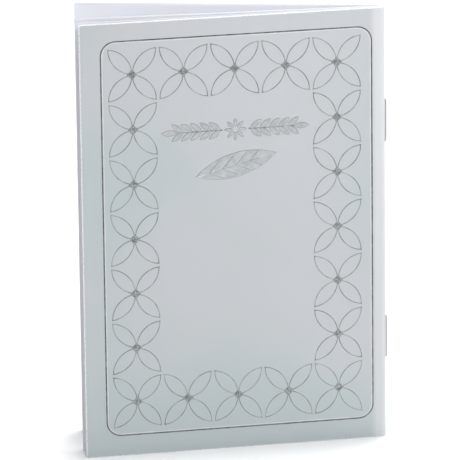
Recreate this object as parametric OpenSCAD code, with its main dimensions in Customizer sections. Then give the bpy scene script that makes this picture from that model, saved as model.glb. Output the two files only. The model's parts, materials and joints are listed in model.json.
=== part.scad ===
// Pocket prayer booklet: nested folded sheets in a card cover, held by two wire
// staples through the fold and standing slightly open on its bottom edge.
// Millimetres, +Z up. The spine faces +X, the front cover faces -Y and the back
// cover lies parallel to the X axis. Every leaf turns about one upright fold line.

/* [Booklet] */
// Width of the closed booklet, from the fold line to the trimmed fore-edge
leaf_w = 97; // [80:1:120]
// Height of the booklet
book_h = 145; // [120:1:175]
// Folded sheets inside the cover, each one a leaf in front and a leaf behind
sheet_count = 12; // [6:1:16]

/* [Paper and card] */
// Thickness of one sheet of paper
sheet_t = 0.115; // [0.08:0.005:0.14]
// Air between neighbouring sheets of the closed booklet
sheet_gap = 0.015; // [0.01:0.005:0.03]
// Thickness of the laminated cover card
cover_t = 0.4; // [0.25:0.05:0.6]
// Air between the outermost sheet and the cover
cover_gap = 0.05; // [0.03:0.01:0.1]
// Radius of the cover's two free corners on each side
corner_r = 1; // [0.5:0.25:3]

/* [How it stands open] */
// Angle between the two covers
cover_open = 14.2; // [10:0.2:30]
// Leaves of the outer bunch, which follow the front cover closely
outer_bunch = 4; // [2:1:5]
// Angle by which the outer bunch lags behind the front cover
outer_lag = 1; // [0.6:0.1:2]
// Angle by which the inner bunch lags behind the front cover
inner_lag = 3.6; // [2.5:0.1:5]
// Angle between neighbouring leaves of one bunch
leaf_fan = 0.06; // [0.02:0.01:0.08]
// Angle over which the back half of the booklet fans out
back_fan = 1.2; // [0.6:0.1:2]

/* [Staples] */
// Diameter of the staple wire
wire_d = 0.5; // [0.4:0.05:0.6]
// Length of the straight crown outside the fold, between the two legs
crown_l = 14; // [10:1:18]
// Length of each clinched leg inside the fold
clinch_l = 4.5; // [3:0.5:6]
// Distance from the top edge down to the middle of the upper staple
top_staple_at = 38; // [25:1:50]
// Distance from the bottom edge up to the middle of the lower staple
bottom_staple_at = 34; // [25:1:50]
// Clearance of the wire to the leaves that turn round it
wire_clear = 0.05; // [0.03:0.01:0.1]

/* [Foil border] */
// Height that the raised foil stands above the card
foil_t = 0.06; // [0.04:0.01:0.1]
// Margin from the foil frame to the fore-edge
fore_margin = 6.6; // [4:0.2:10]
// Margin from the foil frame to the start of the fold
fold_margin = 2.2; // [1:0.2:6]
// Margin from the foil frame to the top edge
top_margin = 5.8; // [4:0.1:10]
// Margin from the foil frame to the bottom edge
bottom_margin = 6.8; // [4:0.1:10]
// Width of the frame line
frame_line = 0.45; // [0.3:0.05:1]
// Outer corner radius of the frame
frame_r = 5; // [2:0.5:8]
// Columns of cells in the ring of four-petal cells
cell_cols = 5; // [3:1:7]
// Rows of cells in the ring
cell_rows = 7; // [3:1:9]
// Distance from the frame line to the cells on the fold side
ring_inset_fold = 3.8; // [1.5:0.1:5]
// Distance from the frame line to the cells on the fore-edge side
ring_inset_fore = 2.5; // [1.5:0.1:5]
// Distance from the frame line to the cells at the top and bottom
ring_inset_ends = 2.75; // [1.5:0.05:5]
// Gap between neighbouring cells
cell_gap = 0.95; // [0.5:0.05:2]
// Width of a petal's outline
petal_line = 0.3; // [0.2:0.02:0.5]
// Half of a petal's width as a share of its length
petal_bulge = 0.2; // [0.15:0.01:0.24]
// Distance between opposite corners of the lozenge in each cell
lozenge_d = 3.5; // [2.5:0.1:4.5]
// Diameter of the raised dot on each lozenge, at its foot
dot_d = 2.1; // [1.4:0.1:2.3]
// Diameter of the dot at its top
dot_top_d = 1.3; // [0.6:0.1:1.3]
// Height of the dot above the lozenge
dot_h = 0.12; // [0.06:0.02:0.2]

/* [Foil ornaments] */
// Height of the middle of the sprig ornament above the bottom edge
sprig_at = 107.6; // [95:0.2:110]
// Overall width of the sprig ornament
sprig_w = 48; // [40:1:50]
// Length of one leaflet of the sprig
leaflet_l = 4.6; // [3:0.2:5]
// Height of the middle of the single leaf above the bottom edge
leaf_motif_at = 95.8; // [88:0.2:98]
// Length of the single leaf
leaf_motif_l = 27; // [20:1:30]

/* [Hidden] */
$fn = 96;
skin = 0.01;

// Closed stack, measured outwards from the fold line
inner_r = wire_d / 2 + wire_clear;
sheet_pitch = sheet_t + sheet_gap;
cover_in_r = inner_r + sheet_count * sheet_pitch - sheet_gap + cover_gap;
cover_out_r = cover_in_r + cover_t;
plate_start = wire_d / 2 + wire_clear;
crown_r = cover_out_r + wire_clear + wire_d / 2;
bend_r = wire_d;

// Leaves of the inner bunch of the front half
inner_bunch = sheet_count - outer_bunch;

// The fold line, with the origin under the centre of the overall box
spine_reach = crown_r * cos(back_fan) + wire_d / 2;
front_reach = leaf_w * sin(cover_open) + cover_out_r * cos(cover_open);
fold_x = (leaf_w - spine_reach) / 2;
fold_y = (front_reach - cover_out_r) / 2;

// Foil frame and cells on the front cover: x runs from the fold to the fore-edge
frame_w = leaf_w - fore_margin - fold_margin;
frame_h = book_h - top_margin - bottom_margin;
cell_pitch_w = (frame_w - ring_inset_fold - ring_inset_fore + cell_gap) / cell_cols;
cell_pitch_h = (frame_h - 2 * ring_inset_ends + cell_gap) / cell_rows;
cell_w = cell_pitch_w - cell_gap;
cell_h = cell_pitch_h - cell_gap;
first_cell_x = fold_margin + ring_inset_fold + cell_w / 2;
first_cell_z = bottom_margin + ring_inset_ends + cell_h / 2;
ring_middle_x = first_cell_x + (cell_cols - 1) / 2 * cell_pitch_w;

function two_digits(i) = str(i < 10 ? "0" : "", i);
function front_name(i) = str("front_leaf_", two_digits(i));
function back_name(i) = str("back_leaf_", two_digits(i));

// Offset of leaf i's inner face from the fold line; leaf 1 is the innermost
function leaf_in_r(i) = inner_r + (i - 1) * sheet_pitch;

// Angle of front leaf i from the back cover, growing outwards
function front_leaf_angle(i) =
    i > inner_bunch
    ? cover_open - outer_lag + (i - sheet_count) * leaf_fan
    : cover_open - inner_lag + (i - inner_bunch) * leaf_fan;

// Angle of back leaf i from the back cover, falling to nothing at the cover
function back_leaf_angle(i) = back_fan * (1 - i / (sheet_count + 1));

paper_color = [0.93, 0.93, 0.95];
card_color = [0.78, 0.8, 0.81];
wire_color = [0.6, 0.61, 0.62];
foil_color = [0.68, 0.7, 0.71];

// A flat plate in the plane x = distance from the fold, z = height, turned to its angle.
// side is -1 for the front half and 1 for the back half.
module at_angle(angle) {
    translate([fold_x, fold_y, 0]) rotate([0, 0, angle]) children();
}

module leaf_plate(angle, side, in_r) {
    at_angle(angle)
        translate([-leaf_w, side > 0 ? in_r : -in_r - sheet_t, 0])
            cube([leaf_w - plate_start, sheet_t, book_h]);
}

module front_leaf(i) {
    color(paper_color) leaf_plate(front_leaf_angle(i), -1, leaf_in_r(i));
}

module back_leaf(i) {
    color(paper_color) leaf_plate(back_leaf_angle(i), 1, leaf_in_r(i));
}

// The cover's outline: square at the fold, rounded at the two free corners
module cover_outline() {
    difference() {
        translate([-leaf_w, 0]) square([leaf_w - plate_start, book_h]);
        for (z = [0, 1])
            translate([-leaf_w, z * book_h]) mirror([0, z])
                difference() {
                    translate([-corner_r, -corner_r]) square(2 * corner_r);
                    translate([corner_r, corner_r]) circle(corner_r);
                }
    }
}

module cover_plate(angle, outer_face) {
    at_angle(angle)
        translate([0, outer_face, 0]) rotate([90, 0, 0]) linear_extrude(cover_t) cover_outline();
}

module front_cover() {
    color(card_color) cover_plate(cover_open, -cover_in_r);
}

module back_cover() {
    color(card_color) cover_plate(0, cover_out_r);
}

// A folded strip about the fold line, from the front plate's angle to the back plate's
module fold_arc(in_r, thick, front_angle, back_angle) {
    translate([fold_x, fold_y, 0]) rotate([0, 0, front_angle - 90])
        rotate_extrude(angle = 180 - front_angle + back_angle)
            translate([in_r, 0]) square([thick, book_h]);
}

module cover_spine() {
    color(card_color) fold_arc(cover_in_r, cover_t, cover_open, 0);
}

module sheet_folds() {
    color(paper_color)
        for (i = [1:sheet_count])
            fold_arc(leaf_in_r(i), sheet_t, front_leaf_angle(i), back_leaf_angle(i));
}

// Half a wire staple, from the middle of its crown up round both bends to its clinched end
module half_staple() {
    leg_z = crown_l / 2;
    translate([crown_r, 0, 0]) cylinder(d = wire_d, h = leg_z - bend_r);
    translate([crown_r - bend_r, 0, leg_z - bend_r]) rotate([90, 0, 0]) wire_bend();
    translate([bend_r, 0, leg_z]) rotate([0, 90, 0]) cylinder(d = wire_d, h = crown_r - 2 * bend_r);
    translate([bend_r, 0, leg_z - bend_r]) mirror([1, 0, 0]) rotate([90, 0, 0]) wire_bend();
    translate([0, 0, leg_z - bend_r - clinch_l]) cylinder(d = wire_d, h = clinch_l);
}

// A quarter turn of wire, from +X round to +Y
module wire_bend() {
    rotate_extrude(angle = 90) translate([bend_r, 0]) circle(d = wire_d);
}

module staple(middle_z) {
    color(wire_color) translate([fold_x, fold_y, middle_z]) rotate([0, 0, back_fan]) {
        half_staple();
        mirror([0, 0, 1]) half_staple();
    }
}

module staple_top() {
    staple(book_h - top_staple_at);
}

module staple_bottom() {
    staple(bottom_staple_at);
}

// Stands children on the front cover's outer face, lifted by lift. Their x is minus the
// distance from the fold, their y is the height and their z points out of the cover.
module on_front_face(lift = 0) {
    at_angle(cover_open) translate([0, -cover_out_r - lift, 0]) rotate([90, 0, 0]) children();
}

// A flat drawing stamped in foil on the front cover
module stamped() {
    color(foil_color) on_front_face() linear_extrude(foil_t) children();
}

module rounded_rect(w, h, r) {
    translate([r, 0]) square([w - 2 * r, h]);
    translate([0, r]) square([w, h - 2 * r]);
    for (x = [r, w - r], y = [r, h - r]) translate([x, y]) circle(r);
}

module foil_frame() {
    stamped() translate([-fold_margin - frame_w, bottom_margin])
        difference() {
            rounded_rect(frame_w, frame_h, frame_r);
            translate([frame_line, frame_line])
                rounded_rect(frame_w - 2 * frame_line, frame_h - 2 * frame_line, frame_r - frame_line);
        }
}

// A pointed leaf shape from the origin to (l, 0), between two arcs, narrowed all round by inset
module lens(l, bulge, inset = 0) {
    half = l * bulge;
    r = (l * l / 4 + half * half) / (2 * half);
    intersection() {
        translate([l / 2, half - r]) circle(r - inset);
        translate([l / 2, r - half]) circle(r - inset);
    }
}

// Places children at the middle of each cell of the ring
module at_ring_cells() {
    for (col = [0:cell_cols - 1], row = [0:cell_rows - 1])
        if (col == 0 || row == 0 || col == cell_cols - 1 || row == cell_rows - 1)
            translate([-first_cell_x - col * cell_pitch_w, first_cell_z + row * cell_pitch_h]) children();
}

module lozenge(across) {
    rotate(45) square(across / sqrt(2), center = true);
}

module cell_petals() {
    reach = norm([cell_w, cell_h]) / 2;
    tilt = atan2(cell_h, cell_w);
    difference() {
        for (turn = [tilt, 180 - tilt, 180 + tilt, -tilt])
            rotate(turn) difference() {
                lens(reach, petal_bulge);
                lens(reach, petal_bulge, petal_line);
            }
        lozenge(lozenge_d);
    }
}

module foil_petals() {
    stamped() at_ring_cells() cell_petals();
}

module foil_lozenges() {
    stamped() at_ring_cells() lozenge(lozenge_d - 2 * skin);
}

// Low round studs with sloping sides, one on each lozenge
module foil_dots() {
    color(foil_color) on_front_face(foil_t) at_ring_cells()
        cylinder(d1 = dot_d, d2 = dot_top_d, h = dot_h);
}

// A rosette of eight leaflets between two straight sprigs of paired leaflets
module foil_sprig() {
    bulge = 0.2;
    rosette_r = leaflet_l * 0.8;
    hub_hole_r = 0.8;
    hub_r = 0.6;
    stem_w = 0.5;
    stem_lap = 0.5;
    stem_from = rosette_r + 0.6;
    stem_to = sprig_w / 2 - leaflet_l;
    pairs = 5;
    pair_step = (stem_to - stem_from) / pairs;
    pair_turn = 38;
    stamped() translate([-ring_middle_x, sprig_at]) {
        difference() {
            for (turn = [0:45:315]) rotate(turn) lens(rosette_r, bulge);
            circle(hub_hole_r);
        }
        circle(hub_r);
        for (side = [0, 1]) mirror([side, 0]) {
            translate([stem_from, -stem_w / 2]) square([stem_to - stem_from, stem_w]);
            translate([stem_to - stem_lap, 0]) lens(leaflet_l + stem_lap, bulge);
            for (k = [0:pairs - 1], up = [0, 1])
                translate([stem_from + (k + 0.2) * pair_step, 0]) mirror([0, up])
                    rotate(pair_turn) lens(leaflet_l, bulge);
        }
    }
}

// A single pointed leaf, cut by a midrib and by four pairs of side veins
module foil_leaf() {
    bulge = 0.15;
    tilt = 14;
    rib_w = 0.35;
    rib_to = 0.86 * leaf_motif_l;
    vein_pairs = 4;
    vein_l = 0.2 * leaf_motif_l;
    first_vein = 0.16 * leaf_motif_l;
    vein_step = 0.17 * leaf_motif_l;
    vein_turn = 36;
    stamped() translate([-ring_middle_x, leaf_motif_at]) rotate(tilt)
        translate([-leaf_motif_l / 2, 0]) difference() {
            lens(leaf_motif_l, bulge);
            translate([-rib_w, -rib_w / 2]) square([rib_to, rib_w]);
            for (k = [0:vein_pairs - 1], up = [0, 1])
                translate([first_vein + k * vein_step, 0]) mirror([0, up]) rotate(vein_turn)
                    translate([0, -rib_w / 2]) square([vein_l, rib_w]);
        }
}

front_cover();
back_cover();
cover_spine();
sheet_folds();
staple_top();
staple_bottom();
for (i = [1:sheet_count]) front_leaf(i);
for (i = [1:sheet_count]) back_leaf(i);
foil_frame();
foil_petals();
foil_lozenges();
foil_dots();
foil_sprig();
foil_leaf();
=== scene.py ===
"""Pocket prayer booklet, standing slightly open: folded paper sheets, two wire staples,
a pearly laminated card cover, and raised silver foil on the front of the cover."""

import json
import math

import bpy
import numpy as np
from mathutils import Matrix, Vector


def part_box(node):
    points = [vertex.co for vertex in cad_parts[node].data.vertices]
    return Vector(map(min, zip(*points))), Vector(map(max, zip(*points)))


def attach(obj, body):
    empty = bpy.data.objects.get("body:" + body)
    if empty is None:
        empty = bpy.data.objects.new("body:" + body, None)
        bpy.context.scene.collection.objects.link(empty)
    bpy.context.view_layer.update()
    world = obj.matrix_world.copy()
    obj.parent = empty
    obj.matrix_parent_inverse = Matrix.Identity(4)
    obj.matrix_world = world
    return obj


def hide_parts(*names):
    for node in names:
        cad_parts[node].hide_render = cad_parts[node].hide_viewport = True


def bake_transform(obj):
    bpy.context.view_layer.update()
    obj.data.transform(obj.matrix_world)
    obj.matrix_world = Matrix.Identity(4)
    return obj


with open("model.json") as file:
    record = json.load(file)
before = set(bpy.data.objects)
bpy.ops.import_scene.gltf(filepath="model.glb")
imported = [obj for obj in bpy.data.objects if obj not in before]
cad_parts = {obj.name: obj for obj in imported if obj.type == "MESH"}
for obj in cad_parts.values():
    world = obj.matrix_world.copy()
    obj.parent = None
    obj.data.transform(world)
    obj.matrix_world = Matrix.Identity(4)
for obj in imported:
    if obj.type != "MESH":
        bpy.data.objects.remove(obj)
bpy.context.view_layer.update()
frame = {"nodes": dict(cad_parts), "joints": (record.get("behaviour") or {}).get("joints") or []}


# --- Sheets ----------------------------------------------------------------------------
# Twelve sheets of white uncoated text paper, folded once and nested. Each half is a leaf
# with a printed page on both faces; the print is only grey strokes where words would be.
# They are cut flush on three sides after stitching, so their edges are square and clean.

MM = 0.001

# Every sheet and the cover turn about one upright line, where the staples' clinched legs
# lie. Each half of a sheet is a flat leaf at its own distance from that line, joined to
# the other half by a fold of that radius.
fold_line = np.array(frame["joints"][0]["pos_m"][:2])


class Leaf:
    """Where one flat half of a sheet or of the cover stands, read from its CAD solid.
    side is -1 in the front half and 1 in the back half; angle is its turn from the X axis;
    inner and outer are the distances of its two faces from the fold line; reach is the
    distance from the fold line to its free edge, and height is its top."""

    def __init__(self, node, side):
        corners = np.array([v.co for v in frame["nodes"][node].data.vertices], float)
        flat = corners[:, :2] - fold_line
        spread = flat - flat.mean(0)
        along = np.linalg.svd(spread, full_matrices=False)[2][0]
        along = along * -np.sign(along[0])
        self.side = side
        self.angle = math.atan2(-along[1], -along[0])
        across = np.array([along[1], -along[0]]) * side
        away = flat @ across
        self.inner, self.outer = away.min(), away.max()
        self.reach = (flat @ along).max()
        self.height = corners[:, 2].max()


def mid_fold_angle():
    """The direction from the fold line to the staples' crowns, halfway round every fold:
    that of the middle of the staple's farthest points."""
    crown = np.array([v.co for v in frame["nodes"]["staple_top"].data.vertices], float)
    out = crown[:, :2] - fold_line
    away = np.hypot(*out.T)
    far = out[away > 0.9 * away.max()]
    return math.atan2(*far.mean(0)[::-1])


mid_fold = mid_fold_angle()


def round_the_fold(leaf, s, z, r):
    """Places flat-sheet coordinates in space. s is the distance from the end of the fold
    towards the free edge, and runs below 0 inside the fold, as an arc length at the leaf's
    outer face; r is the distance from the fold line. In the fold, a point goes round the
    fold line at radius r; past it, it goes straight on along the leaf."""
    end = leaf.angle + leaf.side * math.pi / 2
    turn = end + leaf.side * np.minimum(s, 0) / leaf.outer
    straight = np.maximum(s, 0)
    x = fold_line[0] + r * np.cos(turn) - straight * math.cos(leaf.angle)
    y = fold_line[1] + r * np.sin(turn) - straight * math.sin(leaf.angle)
    return np.stack(np.broadcast_arrays(x, y, z), -1)


def fold_length(leaf):
    """Arc length of a leaf's share of the fold, from the crowns' direction to its flat."""
    return leaf.outer * abs(leaf.angle + leaf.side * math.pi / 2 - mid_fold)


def make_mesh(name, points, faces, uvs=None, slots=None, smooth_below=30):
    """A mesh object from numpy arrays: points (n, 3), a list of face arrays (each m by k
    corners), and for each face array its corners' UV places and its material slot. The
    faces are all turned round if the volume they enclose comes out negative. Edges that
    bend by less than smooth_below degrees are shaded smooth."""
    points = np.asarray(points, float)
    volume = 0.0
    for f in faces:
        p = points[f]
        for k in range(1, f.shape[1] - 1):
            volume += np.einsum("ij,ij->i", p[:, 0], np.cross(p[:, k], p[:, k + 1])).sum()
    if volume < 0:
        faces = [f[:, ::-1] for f in faces]
        uvs = [u[:, ::-1] for u in uvs] if uvs is not None else None
    mesh = bpy.data.meshes.new(name)
    mesh.from_pydata(points.tolist(), [], [c for f in faces for c in f.tolist()])
    if uvs is not None:
        layer = mesh.uv_layers.new(name="SheetMap")
        mapped = np.concatenate([u.reshape(-1) for u in uvs])
        layer.uv.foreach_set("vector", mapped.astype(np.float32))
    if slots is not None:
        mesh.polygons.foreach_set("material_index", np.repeat(slots, [len(f) for f in faces]))
    mesh.polygons.foreach_set("use_smooth", [True] * len(mesh.polygons))
    mesh.set_sharp_from_angle(angle=math.radians(smooth_below))
    mesh.update()
    piece = bpy.data.objects.new(name, mesh)
    bpy.context.scene.collection.objects.link(piece)
    return piece


def grid_faces(rows, cols, first=0):
    """Quads of a rows by cols grid of points numbered row by row from first."""
    at = first + np.arange(rows * cols).reshape(rows, cols)
    return np.stack([at[:-1, :-1], at[1:, :-1], at[1:, 1:], at[:-1, 1:]], -1).reshape(-1, 4)


def grid_rim(rows, cols):
    """The numbers of a grid's boundary points, once round."""
    at = np.arange(rows * cols).reshape(rows, cols)
    return np.concatenate([at[:, 0], at[-1, 1:], at[-2::-1, -1], at[0, -2:0:-1]])


def sheet_half(name, leaf, stations, rows, corner=0.0, edge=0.0, pages=(0, 1)):
    """Half a folded sheet as a closed solid. stations are distances s from the end of the
    fold and rows are shares of the height. The outline's two free corners are arcs of
    radius corner. The rim is a quarter turn of radius edge to each face: at turn q it is
    inset by edge (1 - sin q) and sunk by edge (1 - cos q).
    Material slots: 0 outer face, 1 inner face, 2 rim. The map holds, in metres, the
    distance from the fold and the height, with a whole page number added to the height."""
    s0, v = np.meshgrid(stations, rows, indexing="ij")

    def place(inset, r):
        s = np.minimum(s0, leaf.reach - inset)
        past = np.clip((s - (leaf.reach - corner)) / max(corner, 1e-9), 0, 1)
        low = corner * (1 - np.sqrt(1 - past**2)) + inset
        return s, low + v * (leaf.height - 2 * low), r

    quarter = np.linspace(0, math.pi / 2, 4) if edge else np.array([math.pi / 2])
    rings = [(edge * (1 - math.sin(q)), leaf.outer - edge * (1 - math.cos(q))) for q in quarter]
    rings += [(i, leaf.outer + leaf.inner - r) for i, r in rings[::-1]]
    grids = [place(*ring) for ring in rings]
    n = s0.size
    rim = grid_rim(*s0.shape)
    flat = [np.stack([s.ravel(), z.ravel(), np.full(n, r)], -1) for s, z, r in grids]
    table = np.concatenate([flat[0]] + [f[rim] for f in flat[1:-1]] + [flat[-1]])
    loops = [rim] + [n + k * len(rim) + np.arange(len(rim)) for k in range(len(flat) - 2)]
    last = n + (len(flat) - 2) * len(rim)
    loops.append(last + rim)
    outer = grid_faces(*s0.shape)
    inner = grid_faces(*s0.shape, first=last)[:, ::-1]
    sides = np.concatenate(
        [np.stack([a, np.roll(a, -1), np.roll(b, -1), b], -1) for a, b in zip(loops, loops[1:])]
    )
    points = round_the_fold(leaf, *table.T)
    mapped = table[:, :2]
    uvs = []
    for faces, page in ((outer, pages[0]), (inner, pages[1]), (sides, 0)):
        uvs.append(mapped[faces] + np.array([0, page]))
    return make_mesh(name, points, [outer, inner, sides], uvs, [0, 1, 2])


def bend_with(piece, leaf):
    """Bakes a piece's placement into its mesh. Where its fold starts and ends is worked out
    but not used, so the piece does not bend.
    """
    start = round_the_fold(leaf, -fold_length(leaf), leaf.height / 2, leaf.outer)
    end = round_the_fold(leaf, 0.0, leaf.height / 2, leaf.outer)
    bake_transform(piece)


class Value:
    """A shader socket in arithmetic: each operator adds one Math node."""

    def __init__(self, recipe, socket):
        self.recipe, self.socket = recipe, socket

    def math(self, operation, *others):
        """A Math node with this value first and the others after it."""
        inputs = dict(enumerate((self,) + others))
        return self.recipe.add("ShaderNodeMath", {"operation": operation}, inputs)

    def __add__(self, other):
        return self.math("ADD", other)

    def __radd__(self, other):
        return self.math("ADD", other)

    def __sub__(self, other):
        return self.math("SUBTRACT", other)

    def __rsub__(self, other):
        return (self * -1) + other

    def __mul__(self, other):
        return self.math("MULTIPLY", other)

    def __rmul__(self, other):
        return self.math("MULTIPLY", other)

    def __truediv__(self, other):
        return self.math("DIVIDE", other)

    def __lt__(self, other):
        return self.math("LESS_THAN", other)

    def __gt__(self, other):
        return self.math("GREATER_THAN", other)


class Recipe:
    """A material: one Principled shader and what feeds it."""

    def __init__(self, name):
        self.material = bpy.data.materials.new(name)
        self.material.use_nodes = True
        self.tree = self.material.node_tree
        self.shader = self.tree.nodes["Principled BSDF"]

    def add(self, kind, settings=None, inputs=None, out=0):
        """A node of that kind: its settings first, then its sockets."""
        node = self.tree.nodes.new(kind)
        for key, value in (settings or {}).items():
            setattr(node, key, value)
        for key, value in (inputs or {}).items():
            self.feed(node.inputs[key], value)
        return Value(self, node.outputs[out])

    def output(self, value, number):
        """Another output of the node that value comes from."""
        return Value(self, value.socket.node.outputs[number])

    def feed(self, socket, value):
        """Links a value to a socket, or sets the socket to a plain number or colour."""
        if isinstance(value, Value):
            self.tree.links.new(value.socket, socket)
        else:
            socket.default_value = value

    def set(self, **values):
        """Sets the shader's sockets: base_color becomes Base Color."""
        for key, value in values.items():
            name = key.replace("_", " ").title().replace("Ior", "IOR")
            if name == "Base Color" and not isinstance(value, Value):
                value = (*value, 1)
            self.feed(self.shader.inputs[name], value)

    def noise(self, place, scale, detail=2.0, roughness=0.5):
        """A noise from 0 to 1, with about scale grains to each unit of place."""
        return self.add(
            "ShaderNodeTexNoise", None,
            {"Vector": place, "Scale": scale, "Detail": detail, "Roughness": roughness},
        )

    def ramp(self, value, low, high):
        """0 up to low, 1 from high on, and a smooth step between; high may be below low."""
        inputs = {"Value": value, "From Min": low, "From Max": high}
        return self.add("ShaderNodeMapRange", {"interpolation_type": "SMOOTHSTEP"}, inputs)

    def mix(self, share, a, b):
        """Colour a turning into colour b as share goes from 0 to 1."""
        inputs = {"Factor": share}
        for key, value in ((6, a), (7, b)):
            inputs[key] = value if isinstance(value, Value) else (*value, 1)
        return self.add("ShaderNodeMix", {"data_type": "RGBA"}, inputs, out=2)

    def bump(self, height, strength, distance):
        """The normal of a bumpy face, on which a height of 1 stands for distance, in metres."""
        return self.add(
            "ShaderNodeBump", None,
            {"Height": height, "Strength": strength, "Distance": distance},
        )


PAPER_WHITE = (0.745, 0.75, 0.795)
PRINT_GREY = (0.27, 0.27, 0.29)
LINE_PITCH = 5.4 * MM
STROKE_START = 0.3
STROKE = 0.28
PRINT_FROM = 13 * MM
PRINT_TO = 80 * MM
SHORT_BY = 34 * MM
SHARE_OF_FULL_LINES = 0.82
WORDS_PER_METRE = 330
WORD_LEVEL = 0.42
ROW_SHIFT = 7.31
PRINT_FOOT = 15 * MM
PRINT_HEAD = 129 * MM


def shade(colour, tone):
    """A colour made lighter or darker."""
    return tuple(tone * c for c in colour)


def paper_finish(name, printed, tone=1.0):
    """Uncoated paper: faint cloudiness, a fine fibre bump and, on pages, rows of strokes.
    A row of print is a band of the height modulo the line pitch, and it is broken into
    words where a noise along it, different for each row and page, is under a level."""
    paper = Recipe(name)
    place = paper.add("ShaderNodeUVMap", {"uv_map": "SheetMap"})
    cloud = paper.noise(place, 40, 3)
    white = paper.mix(cloud, shade(PAPER_WHITE, 0.975 * tone), shade(PAPER_WHITE, tone))
    if printed:
        across = paper.add("ShaderNodeSeparateXYZ", None, {"Vector": place})
        up = paper.output(across, 1)
        height = up.math("FRACT")
        row = (up / LINE_PITCH).math("FLOOR")
        in_row = (up / LINE_PITCH).math("FRACT")
        run = across * WORDS_PER_METRE
        line = paper.add("ShaderNodeCombineXYZ", None, {0: run, 1: row * ROW_SHIFT})
        words = paper.noise(line, 1.0, 1.0) > WORD_LEVEL
        chance = paper.add("ShaderNodeTexWhiteNoise", {"noise_dimensions": "1D"}, {"W": row})
        full = chance < SHARE_OF_FULL_LINES
        end = PRINT_TO - (1 - full) * SHORT_BY
        ink = words * (in_row > STROKE_START) * (in_row < STROKE_START + STROKE)
        ink = ink * (across > PRINT_FROM) * (across < end)
        ink = ink * (height > PRINT_FOOT) * (height < PRINT_HEAD)
        grain = paper.noise(place, 2600, 1)
        ink = ink * (0.62 + 0.3 * grain)
        white = paper.mix(ink, white, PRINT_GREY)
    fibre = paper.noise(place, 1500, 4, 0.6)
    paper.set(
        base_color=white, roughness=0.62 + 0.12 * fibre,
        normal=paper.bump(fibre, 0.12, 0.04 * MM), specular_ior_level=0.3,
    )
    return paper.material


page = paper_finish("page_paper", True)
# The cut edges are the same paper made darker: painted shade.
paper_edge_painted_shade = paper_finish("paper_edge_painted_shade", False, 0.78)

SHEETS = sum(name.startswith("front_leaf") for name in frame["nodes"])
LEAF_STATIONS = [4 * MM, 35 * MM, 66 * MM]
FIRST_PAGE = {"front": 0, "back": 60}

for half, side in (("front", -1), ("back", 1)):
    for number in range(1, SHEETS + 1):
        node = f"{half}_leaf_{number:02d}"
        leaf = Leaf(node, side)
        round_fold = np.linspace(-fold_length(leaf), 0, 9)
        stations = np.concatenate([round_fold, LEAF_STATIONS, [leaf.reach]])
        outer_page = FIRST_PAGE[half] + 2 * number
        piece = sheet_half(f"sheet_{half}_{number:02d}", leaf, stations, np.linspace(0, 1, 4),
                           pages=(outer_page, outer_page + 1))
        for finish in (page, page, paper_edge_painted_shade):
            piece.data.materials.append(finish)
        bend_with(piece, leaf)
        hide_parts(node)
        if number == 1:
            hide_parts("sheet_folds")


# --- Staples ---------------------------------------------------------------------------
# Two staples of galvanised stitching wire, driven through the fold from outside. The crown
# lies along the spine; the legs go through every sheet and are clinched along the fold.


def ring_walls(at):
    """Quads between each closed ring of points and the next; at holds a ring's point
    numbers in each row."""
    turned_on = np.roll(at, -1, 1)
    return np.stack([at[:-1], turned_on[:-1], turned_on[1:], at[1:]], -1).reshape(-1, 4)


def tube(name, path, radius, sides=14):
    """A round wire along a path: at each point a ring of radius about the path, turned by
    the plane that halves the bend there, with both ends closed."""
    path = np.asarray(path, float)
    step = np.diff(path, axis=0)
    step /= np.linalg.norm(step, axis=1)[:, None]
    way = np.concatenate([step[:1], step[:-1] + step[1:], step[-1:]])
    way /= np.linalg.norm(way, axis=1)[:, None]
    side = np.array([-math.sin(mid_fold), math.cos(mid_fold), 0.0])
    up = np.cross(way, side)
    turn = np.arange(sides) * 2 * math.pi / sides
    ring = np.cos(turn)[None, :, None] * side + np.sin(turn)[None, :, None] * up[:, None, :]
    points = (path[:, None, :] + radius * ring).reshape(-1, 3)
    at = np.arange(len(path) * sides).reshape(len(path), sides)
    return make_mesh(name, points, [ring_walls(at), at[:1, ::-1], at[-1:]])


def staple_path(low, high, crown, radius, bend, clinch):
    """One staple's middle line in the plane of its legs, from one clinched end to the
    other: straight runs joined by quarter circles of radius bend. The lower half mirrors
    the upper one."""
    quarter = np.linspace(0, math.pi / 2, 7)
    foot = high - radius - bend
    top = [(0.0, foot - clinch)]
    top += [(bend - bend * math.cos(q), foot + bend * math.sin(q)) for q in quarter]
    top += [(crown - bend + bend * math.sin(q), foot + bend * math.cos(q)) for q in quarter]
    bottom = [(r, low + high - z) for r, z in top[::-1]]
    r, z = np.array(top + bottom).T
    x = fold_line[0] + r * math.cos(mid_fold)
    y = fold_line[1] + r * math.sin(mid_fold)
    return np.stack([x, y, z], -1)


steel = Recipe("galvanised_wire")
place = steel.add("ShaderNodeTexCoord", None, None, out=3)
drawn = steel.add("ShaderNodeMapping", None, {"Vector": place, "Scale": (1, 1, 0.06)})
streak = steel.noise(drawn, 9000, 3, 0.7)
steel.set(
    base_color=steel.mix(streak, (0.36, 0.37, 0.38), (0.62, 0.63, 0.64)),
    metallic=1.0, roughness=0.28 + 0.22 * streak, normal=steel.bump(streak, 0.3, 0.01 * MM),
)

WIRE_R = 0.25 * MM
BEND_R = 0.5 * MM
CLINCH = 4.5 * MM

for which in ("top", "bottom"):
    low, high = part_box(f"staple_{which}")
    crown_at = (high.x - WIRE_R - fold_line[0]) / math.cos(mid_fold)
    path = staple_path(low.z, high.z, crown_at, WIRE_R, BEND_R, CLINCH)
    wire = tube(f"wire_staple_{which}", path, WIRE_R)
    wire.data.materials.append(steel.material)
    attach(wire, "binding")
    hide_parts(f"staple_{which}")


# --- Cover -----------------------------------------------------------------------------
# One piece of card, folded round the sheets. Its outside carries a pearly silver-white
# laminate; its inside and its cut edges are plain white. The free corners are rounded.

CARD_EDGE = 0.06 * MM
CORNER = 1.0 * MM

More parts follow.
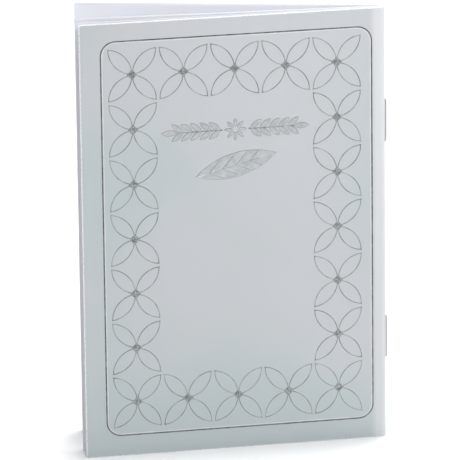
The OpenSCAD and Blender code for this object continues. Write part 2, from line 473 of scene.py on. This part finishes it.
covers = {"front": Leaf("front_cover", -1), "back": Leaf("back_cover", 1)}
front = covers["front"]

# The laminate drifts at random between a warm pearl and a darker teal, and painted shade
# darkens it towards the foot. Over the spine it is partly worn pale by rubbing and partly
# painted lighter as a highlight, more so at the head. It is chipped white along the cut edges.
PEARL_WARM = (0.485, 0.50, 0.52)
# The teal is the darker pearl: the random drift leans to it here and there, and the painted shade leans to
# it at the foot.
PEARL_TEAL_AND_SHADE = (0.43, 0.482, 0.49)
SPINE_RUB_AND_HIGHLIGHT = (0.64, 0.645, 0.66)
CUT_WHITE = (0.72, 0.725, 0.735)
RUB_AND_HIGHLIGHT_FROM = 0.7 * MM
RUB_AND_HIGHLIGHT_TO = 3.3 * MM
CHIP_DEEP = 0.18 * MM
CHIP_END = 0.4 * MM
PAINTED_SHADE_FALL = 0.26

laminate = Recipe("pearl_laminate")
place = laminate.add("ShaderNodeUVMap", {"uv_map": "SheetMap"})
from_fold = laminate.add("ShaderNodeSeparateXYZ", None, {"Vector": place})
height = laminate.output(from_fold, 1).math("FRACT")
drift = laminate.noise(place, 13, 2)
# Painted shade: the share of the darker teal grows steadily from the head to the foot.
tint_with_painted_shade = drift + PAINTED_SHADE_FALL / 2 - PAINTED_SHADE_FALL / front.height * height
pearl = laminate.mix(laminate.ramp(tint_with_painted_shade, 0.36, 0.64), PEARL_WARM, PEARL_TEAL_AND_SHADE)
orange_peel = laminate.noise(place, 420, 3)
flake = laminate.noise(place, 5200, 2)
scuffs = laminate.noise(place, 900, 3, 0.65)
# Partly wear from rubbing and partly a painted highlight: paler near the fold, and more so towards the
# head.
rub_and_highlight = laminate.ramp(from_fold, RUB_AND_HIGHLIGHT_TO, RUB_AND_HIGHLIGHT_FROM) * (0.6 + 0.3 * drift)
rub_and_highlight = rub_and_highlight * (0.7 + 0.3 * laminate.ramp(height, 0.0, 0.7 * front.height))
cut = laminate.ramp(from_fold, front.reach - CHIP_END, front.reach - CHIP_DEEP)
for inner, outer in ((front.height - CHIP_END, front.height - CHIP_DEEP), (CHIP_END, CHIP_DEEP)):
    cut = cut.math("MAXIMUM", laminate.ramp(height, inner, outer))
cut = cut * laminate.ramp(scuffs, 0.3, 0.55)
speckle = 0.96 + 0.08 * flake
pearl = laminate.mix(rub_and_highlight, pearl, SPINE_RUB_AND_HIGHLIGHT)
pearl = laminate.mix(cut, pearl, CUT_WHITE)
laminate.set(
    base_color=pearl, metallic=0.12 * speckle, roughness=0.34 + 0.08 * flake + 0.2 * cut,
    coat_weight=0.35 - 0.3 * cut, coat_roughness=0.12, specular_ior_level=0.45,
    normal=laminate.bump(orange_peel + 0.25 * scuffs, 0.06, 0.05 * MM),
)

card = Recipe("white_card")
place = card.add("ShaderNodeUVMap", {"uv_map": "SheetMap"})
pulp = card.noise(place, 1800, 4)
card.set(
    base_color=card.mix(pulp, (0.80, 0.80, 0.82), (0.88, 0.88, 0.9)),
    roughness=0.6 + 0.1 * pulp, normal=card.bump(pulp, 0.15, 0.03 * MM),
)

FIRST_FLAT = 0.6 * MM

for half, leaf in covers.items():
    round_fold = np.linspace(-fold_length(leaf), 0, 15)
    flat = np.linspace(FIRST_FLAT, leaf.reach - CORNER, 16)[:-1]
    corner_run = leaf.reach - CORNER * (1 - np.sin(np.linspace(0, math.pi / 2, 7)))
    corner_run = corner_run[corner_run < leaf.reach - 1.5 * CARD_EDGE]
    stations = np.concatenate([round_fold, flat, corner_run, [leaf.reach]])
    piece = sheet_half(f"cover_{half}_card", leaf, stations, np.linspace(0, 1, 24), CORNER,
                       CARD_EDGE, pages=(3, 5))
    for finish in (laminate.material, card.material, card.material):
        piece.data.materials.append(finish)
    bend_with(piece, leaf)
    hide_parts(f"{half}_cover")
    if half == "front":
        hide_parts("cover_spine")


# --- Foil ------------------------------------------------------------------------------
# Silver foil, hot-stamped on the front cover and raised from behind in the same stroke, so
# each line is a low ridge and each filled shape a low cushion on the card.

SINK = 0.01 * MM
LEAST_COSINE = 0.3


def on_cover(s, z, h):
    """A place on the front cover: s from the fold, z up, h above the card."""
    return round_the_fold(front, s, z, front.outer + h)


def cover_extent(node):
    """Lowest and highest (s, z) of a foil node, measured on the front cover, and the
    height that it stands above the card."""
    p = np.array([v.co for v in frame["nodes"][node].data.vertices], float)
    flat = p[:, :2] - fold_line
    s = -(flat @ np.array([math.cos(front.angle), math.sin(front.angle)]))
    h = flat @ np.array([math.sin(front.angle), -math.cos(front.angle)]) - front.outer
    return np.array([s.min(), p[:, 2].min()]), np.array([s.max(), p[:, 2].max()]), h.max()


def ridge(path, closed, width, height, steps=8):
    """Points and faces of a raised line along a flat path on the cover. Across the line at
    angle q from 0 to half a turn, it is cos q of half the width to the side, and up by the
    height times sin q to the power 0.7; its two feet are sunk into the card. At a bend it
    is widened by one over the cosine of half the bend, up to a limit, so that its sides
    stay parallel."""
    path = np.asarray(path, float)
    if closed:
        before, after = np.roll(path, 1, 0), np.roll(path, -1, 0)
    else:
        before = np.concatenate([2 * path[:1] - path[1:2], path[:-1]])
        after = np.concatenate([path[1:], 2 * path[-1:] - path[-2:-1]])
    a = path - before
    b = after - path
    a /= np.linalg.norm(a, axis=1)[:, None]
    b /= np.linalg.norm(b, axis=1)[:, None]
    way = (a + b) / np.linalg.norm(a + b, axis=1)[:, None]
    reach = 1 / np.maximum(np.einsum("ij,ij->i", way, b), LEAST_COSINE)
    normal = np.stack([-way[:, 1], way[:, 0]], -1) * reach[:, None]
    q = np.linspace(0, math.pi, steps + 1)
    side = -np.cos(q) * width / 2
    up = np.where((q == 0) | (q == q[-1]), -SINK, height * np.sin(q) ** 0.7)
    flat = path[:, None, :] + side[None, :, None] * normal[:, None, :]
    points = on_cover(flat[..., 0], flat[..., 1], up[None, :]).reshape(-1, 3)
    at = np.arange(len(path) * len(q)).reshape(len(path), len(q))
    walls = ring_walls(np.concatenate([at, at[:1]]) if closed else at)
    caps = np.zeros((0, len(q)), int) if closed else np.stack([at[0, ::-1], at[-1]])
    return points, walls, caps


def join(parts):
    """Several (points, quads, caps) as one set of arrays."""
    points, quads, caps, first = [], [], [], 0
    for p, f, c in parts:
        points.append(p)
        quads.append(f + first)
        caps += [c + first] * (len(c) > 0)
        first += len(p)
    return np.concatenate(points), [np.concatenate(quads)] + caps


def cushion(s, z, height):
    """Points and faces of a raised filled shape: grids of places s, z with the height of
    its top, over a bottom that is sunk into the card."""
    top = on_cover(s, z, height).reshape(-1, 3)
    bottom = on_cover(s, z, np.full(s.shape, -2 * SINK)).reshape(-1, 3)
    n = s.size
    rim = grid_rim(*s.shape)
    walls = np.stack([rim, np.roll(rim, -1), np.roll(rim, -1) + n, rim + n], -1)
    faces = np.concatenate([grid_faces(*s.shape), grid_faces(*s.shape, first=n)[:, ::-1], walls])
    return np.concatenate([top, bottom]), faces, np.zeros((0, 4), int)


def turned(x, y, angle, at):
    """Flat places x, y turned by angle and moved to at."""
    c, s = math.cos(angle), math.sin(angle)
    return at[0] + x * c - y * s, at[1] + x * s + y * c


def half_width(x, length, bulge):
    """Half the width of a pointed leaf shape at x: the gap between its axis and the arc
    through both tips whose sagitta is bulge times the length."""
    sagitta = length * bulge
    r = (length**2 / 4 + sagitta**2) / (2 * sagitta)
    return np.sqrt(r**2 - (x - length / 2) ** 2) - (r - sagitta)


def foil_finish(name, dark, bright, rough, grain, wear=(0.34, 0.66), metallic=1.0):
    """Stamped foil: metal whose brightness and gloss break up where the card's grain shows
    through, at two sizes of grain. It turns from dark to bright between the wear levels;
    rough is its least roughness, and grain is the number of coarse grains to the metre."""
    foil = Recipe(name)
    place = foil.add("ShaderNodeTexCoord", None, None, out=3)
    coarse = foil.noise(place, grain, 3, 0.6)
    fine = foil.noise(place, 6 * grain, 2, 0.6)
    foil.set(
        base_color=foil.mix(foil.ramp(coarse, *wear), dark, bright), metallic=metallic,
        roughness=rough + 0.16 * fine, normal=foil.bump(coarse + 0.4 * fine, 0.25, 0.015 * MM),
    )
    return foil.material


def stamp(name, groups, node=None):
    """One piece from (finish, parts) groups, riding on the front cover in place of its CAD
    node. Each group is one material slot."""
    points, faces, slots = [], [], []
    for number, (_, parts) in enumerate(groups):
        some, arrays = join(parts)
        faces += [a + sum(map(len, points)) for a in arrays]
        slots += [number] * len(arrays)
        points.append(some)
    piece = make_mesh(name, np.concatenate(points), faces, slots=slots, smooth_below=50)
    for finish, _ in groups:
        piece.data.materials.append(finish)
    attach(piece, "front_cover")
    if node:
        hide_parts(node)


# The frame: one ridge round the cover, with rounded corners.
line_foil = foil_finish("line_foil", (0.1, 0.112, 0.115), (0.2, 0.215, 0.22), 0.26, 500)
FRAME_LINE = 0.45 * MM
FRAME_CORNER = 5 * MM


def rounded_frame(low, high, r, steps=14):
    """A rectangle from low to high with corners of radius r, once round: each corner is a
    quarter circle about its own centre, and the straight runs are split evenly."""
    path = []
    corners = [(high[0] - r, high[1] - r, 0), (low[0] + r, high[1] - r, 1),
               (low[0] + r, low[1] + r, 2), (high[0] - r, low[1] + r, 3)]
    for x, y, k in corners:
        q = (k + np.linspace(0, 1, steps)) * math.pi / 2
        path += list(zip(x + r * np.cos(q), y + r * np.sin(q)))
    return np.array(path)


frame_low, frame_high, foil_up = cover_extent("foil_frame")
half_line = FRAME_LINE / 2
frame_path = rounded_frame(frame_low + half_line, frame_high - half_line, FRAME_CORNER - half_line)
stamp("foil_frame_line", [(line_foil, [ridge(frame_path, True, FRAME_LINE, foil_up)])], "foil_frame")

# Inside the frame the stamp's edge has lifted the card a little, and the laminate along that
# lip is painted lighter as a highlight.
LIP = 0.42 * MM
lip_inset = FRAME_LINE + LIP / 2
lip_path = rounded_frame(frame_low + lip_inset, frame_high - lip_inset, FRAME_CORNER - lip_inset)
lip_painted_highlight = foil_finish(
    "lip_highlight_laminate", (0.56, 0.57, 0.585), (0.62, 0.63, 0.64), 0.4, 300, metallic=0.1
)
stamp("frame_lip", [(lip_painted_highlight, [ridge(lip_path, True, LIP, 0.6 * foil_up)])])

# The ring of cells: in each cell four pointed petals, outlined, run from the cell's corners
# to a lozenge in its middle.
petal_foil = foil_finish("petal_foil", (0.23, 0.245, 0.25), (0.37, 0.39, 0.395), 0.28, 260)
COLUMNS, ROWS = 5, 7
PETAL_LINE = 0.3 * MM
PETAL_BULGE = 0.2
LOZENGE = 3.5 * MM

ring_low, _, _ = cover_extent("foil_petals")
first_low, first_high, _ = cover_extent("foil_lozenges")
first_cell = first_low + LOZENGE / 2
pitch = (first_high - LOZENGE / 2 - first_cell) / np.array([COLUMNS - 1, ROWS - 1])
cell = 2 * (first_cell - ring_low)
cells = [first_cell + pitch * (c, r) for c in range(COLUMNS) for r in range(ROWS)
         if c in (0, COLUMNS - 1) or r in (0, ROWS - 1)]


def petal_path(middle, corner, steps=11):
    """A petal's outline as an open path: out along one arc from the lozenge to the cell's
    corner, and back along the other. Each arc stands off the petal's axis by half_width."""
    axis = np.asarray(corner) - middle
    length, angle = np.hypot(*axis), math.atan2(axis[1], axis[0])
    x = np.linspace(0, length - 0.6 * PETAL_LINE, 40)
    w = half_width(x, length, PETAL_BULGE) - PETAL_LINE / 2
    s, z = turned(x, w, angle, middle)
    inside = np.abs(s - middle[0]) + np.abs(z - middle[1]) < LOZENGE / 2
    x = np.linspace(x[inside][-1], x[-1], steps)
    w = np.maximum(half_width(x, length, PETAL_BULGE) - PETAL_LINE / 2, 0)
    tip = np.sum(w > 0)
    x, w = np.append(x[:tip], length - PETAL_LINE), np.append(w[:tip], 0.0)
    out = np.stack(turned(x, w, angle, middle), -1)
    back = np.stack(turned(x, -w, angle, middle), -1)
    return np.concatenate([out, back[-2::-1]])


petals = []
for middle in cells:
    for dx, dz in ((1, 1), (-1, 1), (-1, -1), (1, -1)):
        corner = middle + np.array([dx, dz]) * cell / 2
        petals.append(ridge(petal_path(middle, corner), False, PETAL_LINE, foil_up, steps=6))
stamp("foil_petal_lines", [(petal_foil, petals)], "foil_petals")

# A filled and outlined lozenge in the middle of each cell, with a grained dot on it.
lozenge_foil = foil_finish("lozenge_foil", (0.24, 0.275, 0.275), (0.36, 0.395, 0.395), 0.32, 500)
dot_foil = foil_finish("dot_foil", (0.17, 0.185, 0.185), (0.36, 0.38, 0.38), 0.34, 1500, (0.38, 0.6))
BEVEL = 0.12 * MM
LOZENGE_LINE = 0.2 * MM


def lozenge(middle, across, height, steps=9):
    """A square cushion standing on its corner: on a grid u, v from -1 to 1 its places are
    u + v and v - u, and its top falls to the card within one bevel of an edge."""
    level = 1 - 2 * math.sqrt(2) * BEVEL / across
    u = np.concatenate([[-1], np.linspace(-level, level, steps), [1]])
    u, v = np.meshgrid(u, u, indexing="ij")
    edge = np.maximum(np.abs(u), np.abs(v))
    top = np.where(edge > 1 - 1e-9, -SINK, height)
    return cushion(middle[0] + (u + v) * across / 4, middle[1] + (v - u) * across / 4, top)


def lozenge_rim(middle, across):
    """A ridge once round a lozenge, half its own width inside the lozenge's edge."""
    tips = np.array([[1, 0], [0, 1], [-1, 0], [0, -1]]) * (across / 2 - 0.7 * LOZENGE_LINE)
    return ridge(middle + tips, True, LOZENGE_LINE, 1.1 * foil_up, steps=4)


def dot(middle, radius, base, height, sides=22, rings=6):
    """A low dome: rings of radius sin q and height cos q for q from the top down to the
    foot, closed by a ring sunk into the lozenge."""
    q = np.linspace(0, math.pi / 2, rings)[1:]
    turn = np.arange(sides) * 2 * math.pi / sides
    r = np.append(radius * np.sin(q), radius)[:, None]
    h = np.append(base + height * np.cos(q), base - 2 * SINK)[:, None] + 0 * turn
    ring = on_cover(middle[0] + r * np.cos(turn), middle[1] + r * np.sin(turn), h).reshape(-1, 3)
    at = np.arange(len(ring)).reshape(-1, sides)
    return ring, ring_walls(at), np.stack([at[0, ::-1], at[-1]])


dot_low, dot_high, dot_up = cover_extent("foil_dots")
dot_r = (dot_high[0] - dot_low[0] - pitch[0] * (COLUMNS - 1)) / 2
fills = [lozenge(m, LOZENGE, foil_up) for m in cells]
dots = [dot(m, dot_r, foil_up, dot_up - foil_up) for m in cells]
rims = [lozenge_rim(m, LOZENGE) for m in cells]
stamp("foil_lozenge_fills", [(lozenge_foil, fills), (petal_foil, rims)], "foil_lozenges")
stamp("foil_grained_dots", [(dot_foil, dots)], "foil_dots")

# The ornament above: a rosette of eight leaflets between two straight sprigs.
filled_foil = foil_finish("filled_foil", (0.45, 0.475, 0.48), (0.54, 0.56, 0.57), 0.3, 420)
LEAFLET = 4.6 * MM
LEAFLET_BULGE = 0.2
LEAFLET_TURN = math.radians(38)
STEM = 0.5 * MM
STEM_GAP = 0.6 * MM
PAIRS = 5
FIRST_FOOT = 0.2
EYE = 0.8 * MM
RIM_FALL = 0.45
GROOVE_DEPTH = 0.35
GROOVE_SHARE = 0.16


def leaflet(at, angle, length, steps=(15, 9)):
    """A filled pointed leaf from at in the direction angle. Its top is a cushion that falls
    as the fourth power of the distance from its axis, with a shallow groove on the axis."""
    share = np.linspace(0.01, 0.99, steps[0])
    x, v = np.meshgrid(share * length, np.linspace(-1, 1, steps[1]), indexing="ij")
    y = v * half_width(x, length, LEAFLET_BULGE)
    groove = GROOVE_DEPTH * np.exp(-((v / GROOVE_SHARE) ** 2))
    top = foil_up * (1 - RIM_FALL * v**4 - groove)
    top[np.abs(v) > 0.999] = -SINK
    return cushion(*turned(x, y, angle, at), top)


OUTLINE = 0.16 * MM


def outline(at, angle, length, bulge, steps=9):
    """The rim of a pointed leaf as a closed ridge: out along one arc and back along the
    other, half a line's width inside the leaf's edge."""
    x = (1 - np.cos(np.linspace(0, math.pi, steps))) / 2 * (length - OUTLINE) + OUTLINE / 2
    w = np.maximum(half_width(x, length, bulge) - OUTLINE / 2, 0)
    rim = np.stack([np.append(x, x[-2:0:-1]), np.append(w, -w[-2:0:-1])], -1)
    path = np.stack(turned(rim[:, 0], rim[:, 1], angle, at), -1)
    return ridge(path, True, OUTLINE, 1.1 * foil_up, steps=4)


sprig_low, sprig_high, _ = cover_extent("foil_sprig")
centre = (sprig_low + sprig_high) / 2
rosette = 0.8 * LEAFLET
stem_from = rosette + STEM_GAP
stem_to = (sprig_high[0] - sprig_low[0]) / 2 - LEAFLET
step = (stem_to - stem_from) / PAIRS
# Each leaflet is its foot, its direction and its length.
leaves = [(centre + EYE * np.array([math.cos(q), math.sin(q)]), q, rosette - EYE)
          for q in np.arange(8) * math.pi / 4]
stems = []
for way in (0, math.pi):
    flip = math.cos(way)
    along = np.array([stem_from, (stem_from + stem_to) / 2, stem_to])
    stem = centre + flip * np.stack([along, 0 * along], -1)
    stems.append(ridge(stem, False, STEM, foil_up, steps=6))
    leaves.append((centre + (flip * (stem_to - STEM), 0), way, LEAFLET + STEM))
    for k in range(PAIRS):
        foot = centre + (flip * (stem_from + (k + FIRST_FOOT) * step), 0)
        leaves += [(foot, way + flip * up * LEAFLET_TURN, LEAFLET) for up in (1, -1)]
# The rims are darker foil lines round each leaflet: painted shade along its fall to the card.
rims = [outline(*leaf_at, LEAFLET_BULGE) for leaf_at in leaves]
stamp("foil_sprig_ornament", [(filled_foil, [leaflet(*leaf_at) for leaf_at in leaves]),
                              (petal_foil, rims + stems)], "foil_sprig")

# The single leaf below it: a filled blade with a midrib and side veins cut down to the card.
leaf_low, leaf_high, _ = cover_extent("foil_leaf")
BLADE = 27 * MM
BLADE_BULGE = 0.15
BLADE_TILT = math.radians(180 - 14)
VEIN = 0.35 * MM
HALF_CUT = 0.35 * VEIN
VEIN_TURN = math.radians(36)
VEIN_FEET = BLADE * np.array([0.16, 0.33, 0.5, 0.67])
MIDRIB_START = 0.02 * BLADE
MIDRIB_END = 0.86 * BLADE


def vein_run(foot, longest=0.2 * BLADE):
    """How far a side vein goes: it leaves the midrib at foot, turned by VEIN_TURN, and
    stops where it meets the blade's outline or at its greatest length."""
    t = np.linspace(0, longest, 200)
    room = half_width(foot + t * math.cos(VEIN_TURN), BLADE, BLADE_BULGE) - t * math.sin(VEIN_TURN)
    return t[room > OUTLINE][-1]


vein_runs = [vein_run(foot) for foot in VEIN_FEET]


def veined_blade(start, steps=(190, 61)):
    """A pointed blade whose top is level, falls to the card at its rim, and dips under the
    card's surface along the midrib and along the pairs of side veins: it is down within
    half a cut of such a line and rises again over as much."""
    share = np.linspace(0.004, 0.996, steps[0])
    x, v = np.meshgrid(share * BLADE, np.linspace(-1, 1, steps[1]), indexing="ij")
    y = v * half_width(x, BLADE, BLADE_BULGE)
    depth = np.clip((1 - np.abs(v)) * half_width(x, BLADE, BLADE_BULGE) / BEVEL, 0, 1)
    top = -SINK + (foil_up + SINK) * np.sqrt(1 - (1 - depth) ** 2)
    cut = np.where(x < MIDRIB_END, np.abs(y), 1.0)
    for foot, run in zip(VEIN_FEET, vein_runs):
        along = (x - foot) * math.cos(VEIN_TURN) + np.abs(y) * math.sin(VEIN_TURN)
        off = np.abs(y) * math.cos(VEIN_TURN) - (x - foot) * math.sin(VEIN_TURN)
        inside = (along > 0) & (along < run)
        cut = np.minimum(cut, np.where(inside, np.abs(off), 1.0))
    rise = np.clip((cut - HALF_CUT) / HALF_CUT, 0, 1)
    top = -SINK + (top + SINK) * rise
    return cushion(*turned(x, y, BLADE_TILT, start), top)


def blade_veins(start):
    """The dark lines drawn in the blade's cuts: the midrib and the pairs of side veins."""
    lines = [((MIDRIB_START, 0.0), (MIDRIB_END, 0.0))]
    for foot, run in zip(VEIN_FEET, vein_runs):
        out, up = run * math.cos(VEIN_TURN), run * math.sin(VEIN_TURN)
        lines += [((foot, 0.0), (foot + out, up)), ((foot, 0.0), (foot + out, -up))]
    drawn = []
    for line in lines:
        x, y = np.linspace(*line, 3).T
        path = np.stack(turned(x, y, BLADE_TILT, start), -1)
        drawn.append(ridge(path, False, 0.55 * VEIN, 0.5 * foil_up, steps=4))
    return drawn


blade_middle = (leaf_low + leaf_high) / 2
blade_foot = blade_middle - BLADE / 2 * np.array([math.cos(BLADE_TILT), math.sin(BLADE_TILT)])
# The blade's outline is a darker foil line: painted shade along its fall to the card.
blade_lines = blade_veins(blade_foot) + [outline(blade_foot, BLADE_TILT, BLADE, BLADE_BULGE, 25)]
stamp("foil_veined_leaf", [(filled_foil, [veined_blade(blade_foot)]), (petal_foil, blade_lines)],
      "foil_leaf")


# --- Studio ----------------------------------------------------------------------------
# A white sweep under a large softbox that hangs behind the booklet, and a sky that is
# brighter from the right. A small lamp straight above draws the contact shadow; weak ones
# to the left, right and front shape the edges. The camera is a long lens, a little above.

FLOOR = 6.0
floor_mesh = bpy.data.meshes.new("floor")
floor_corners = [(x * FLOOR, y * FLOOR, 0) for x, y in ((-1, -1), (1, -1), (1, 1), (-1, 1))]
floor_mesh.from_pydata(floor_corners, [], [(0, 1, 2, 3)])
floor = bpy.data.objects.new("floor", floor_mesh)
bpy.context.scene.collection.objects.link(floor)
sweep = Recipe("white_sweep")
sweep.set(base_color=(0.96, 0.96, 0.96), roughness=0.8)
floor.data.materials.append(sweep.material)


def softbox(name, place, towards, size, watts, spread=180):
    """A square area light at place, turned towards a point; spread is its beam's angle in
    degrees."""
    light = bpy.data.lights.new(name, "AREA")
    light.size = size
    light.energy = watts
    light.spread = math.radians(spread)
    lamp = bpy.data.objects.new(name, light)
    bpy.context.scene.collection.objects.link(lamp)
    lamp.location = place
    lamp.rotation_euler = (Vector(towards) - Vector(place)).to_track_quat("-Z", "Y").to_euler()


softbox("overhead", place=(0.15, 0.42, 0.95), towards=(0.05, 0.1, 0), size=0.7, watts=6.0)
softbox("straight_above", place=(0, 0.04, 1.0), towards=(0, 0.04, 0), size=0.09, watts=2.0)
softbox("left_card", place=(-0.5, -0.09, 0.12), towards=(-0.05, 0, 0.07), size=0.1, watts=0.8)
softbox("right_window", place=(0.42, -0.2, 0.4), towards=(0.04, 0, 0.19), size=0.2, watts=0.1, spread=60)
softbox("front_top", place=(0.12, -0.35, 0.45), towards=(0.045, 0, 0.18), size=0.15, watts=0.063, spread=45)
world = bpy.data.worlds.new("studio")
bpy.context.scene.world = world
world.use_nodes = True
sky = world.node_tree
direction = sky.nodes.new("ShaderNodeTexCoord")
axes = sky.nodes.new("ShaderNodeSeparateXYZ")
fall = sky.nodes.new("ShaderNodeMapRange")
for name, value in {"From Min": -1, "From Max": 1, "To Min": 0.37, "To Max": 0.93}.items():
    fall.inputs[name].default_value = value
sky.links.new(direction.outputs["Generated"], axes.inputs[0])
sky.links.new(axes.outputs["X"], fall.inputs["Value"])
sky.links.new(fall.outputs[0], sky.nodes["Background"].inputs["Strength"])
sky.nodes["Background"].inputs["Color"].default_value = (0.97, 0.985, 1.0, 1)

ELEVATION = math.radians(17.354)
AZIMUTH = math.radians(-3.629)
ROLL = math.radians(-0.676)
DISTANCE = 1.8737
aim_at = np.array([-0.0001, 0.0, 0.0733])
flat_ahead = np.array([math.sin(AZIMUTH), math.cos(AZIMUTH), 0.0])
ahead = math.cos(ELEVATION) * flat_ahead - math.sin(ELEVATION) * np.array([0.0, 0.0, 1.0])
level = np.array([math.cos(AZIMUTH), -math.sin(AZIMUTH), 0.0])
upward = np.cross(level, ahead)
right = math.cos(ROLL) * level + math.sin(ROLL) * upward
camera_data = bpy.data.cameras.new("camera")
camera_data.lens = 456.4
camera_data.sensor_width = 36
camera_data.clip_end = 50
camera = bpy.data.objects.new("camera", camera_data)
bpy.context.scene.collection.objects.link(camera)
camera.location = aim_at - ahead * DISTANCE
camera.rotation_euler = Matrix(np.stack([right, np.cross(right, ahead), -ahead], 1)).to_euler()
bpy.context.scene.camera = camera
bpy.context.scene.view_settings.view_transform = "Standard"
